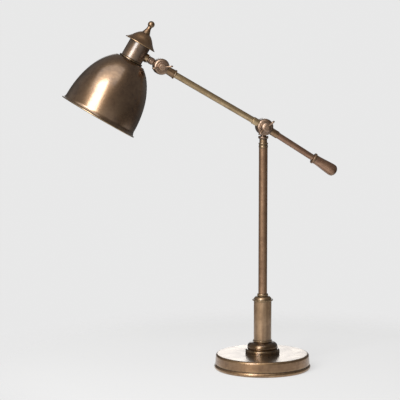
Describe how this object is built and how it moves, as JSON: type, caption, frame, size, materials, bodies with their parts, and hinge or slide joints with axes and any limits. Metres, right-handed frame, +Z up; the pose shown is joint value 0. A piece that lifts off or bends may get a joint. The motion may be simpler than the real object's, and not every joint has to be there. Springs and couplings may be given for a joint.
{
  "type": "swing arm desk lamp",
  "caption": "Desk lamp with a round weighted base, a column with a turning, tilting arm and a tilting bell shade, both clamped by wing nuts, in aged brass.",
  "frame": {"origin": "centre of the felt's underside, on the table, under the column's axis", "axes": "+Z up along the column; the shade lies towards -X, the handle towards +X, the wing nuts face -Y"},
  "size_m": [0.5316, 0.1888, 0.6806],
  "materials": {
    "aged_brass": "antiqued, half polished, cloudy brown patina",
    "bright_brass": "plain bright brass",
    "plated_steel": "zinc plated",
    "cap_metal": "rolled thread, satin",
    "cast_iron": "rough, painted black",
    "felt": "pressed felt",
    "black_fibre": "smooth fibre or nylon",
    "dark_plastic": "moulded, satin",
    "opal_glass": "opal, satin"
  },
  "bodies": {
    "stand": {"felt_pad": "felt", "base_weight": "cast_iron", "base_cover": "aged_brass", "cord_inlet_bush": "black_fibre", "tie_rod": "plated_steel", "tie_rod_washer": "plated_steel", "tie_rod_nut": "plated_steel", "boss_ring": "aged_brass", "boss_cushion": "aged_brass", "sleeve_foot_ring": "aged_brass", "sleeve_tube": "aged_brass", "sleeve_cap": "aged_brass", "column_ring": "aged_brass", "column_tube": "aged_brass", "column_plug": "aged_brass", "column_ferrule": "aged_brass", "swivel_stop_screw": "plated_steel"},
    "swivel": {"swivel_washer": "black_fibre", "knuckle_post": "aged_brass", "arm_pivot_screw": "aged_brass"},
    "arm": {"arm_friction_washer": "black_fibre", "arm_knuckle": "aged_brass", "arm_pressure_washer": "aged_brass", "front_ferrule": "aged_brass", "front_arm_tube": "aged_brass", "rear_ferrule": "aged_brass", "rear_arm_tube": "aged_brass", "handle_collar": "aged_brass", "handle": "aged_brass", "head_ferrule": "aged_brass", "head_knuckle_front": "aged_brass", "head_pressure_washer": "aged_brass"},
    "arm_clamp": {"arm_wing_nut": "aged_brass"},
    "head": {"head_friction_washer": "black_fibre", "head_knuckle_stem": "aged_brass", "head_pivot_screw": "aged_brass", "stem_collar": "aged_brass", "stem_nut": "plated_steel", "neck": "aged_brass", "neck_ring": "aged_brass", "cap": "aged_brass", "finial": "aged_brass", "holder_rod": "aged_brass", "shade": "aged_brass", "shade_ring": "aged_brass", "lampholder_body": "dark_plastic", "lampholder_shell": "bright_brass", "lampholder_contact": "bright_brass", "bulb_cap": "cap_metal", "bulb_insulator": "dark_plastic", "bulb_contact": "bright_brass", "bulb_glass": "opal_glass"},
    "head_clamp": {"head_wing_nut": "aged_brass"}
  },
  "joints": [
    {"name": "arm_swing", "type": "hinge", "parent": "stand", "child": "swivel", "pos_m": [0, 0, 0.43], "axis": [0, 0, 1], "range_deg": [-150, 150]},
    {"name": "arm_tilt", "type": "hinge", "parent": "swivel", "child": "arm", "pos_m": [0, 0, 0.4764], "axis": [0, 1, 0], "range_deg": [-60, 25]},
    {"name": "arm_nut_turn", "type": "hinge", "parent": "arm", "child": "arm_clamp", "pos_m": [0, -0.028, 0.4764], "axis": [0, -1, 0], "range_deg": [0, 180]},
    {"name": "head_tilt", "type": "hinge", "parent": "arm", "child": "head", "pos_m": [-0.20076, 0, 0.59466], "axis": [0, 1, 0], "range_deg": [-60, 90]},
    {"name": "head_nut_turn", "type": "hinge", "parent": "arm", "child": "head_clamp", "pos_m": [-0.20076, -0.028, 0.59466], "axis": [0, -1, 0], "range_deg": [0, 180]}
  ]
}
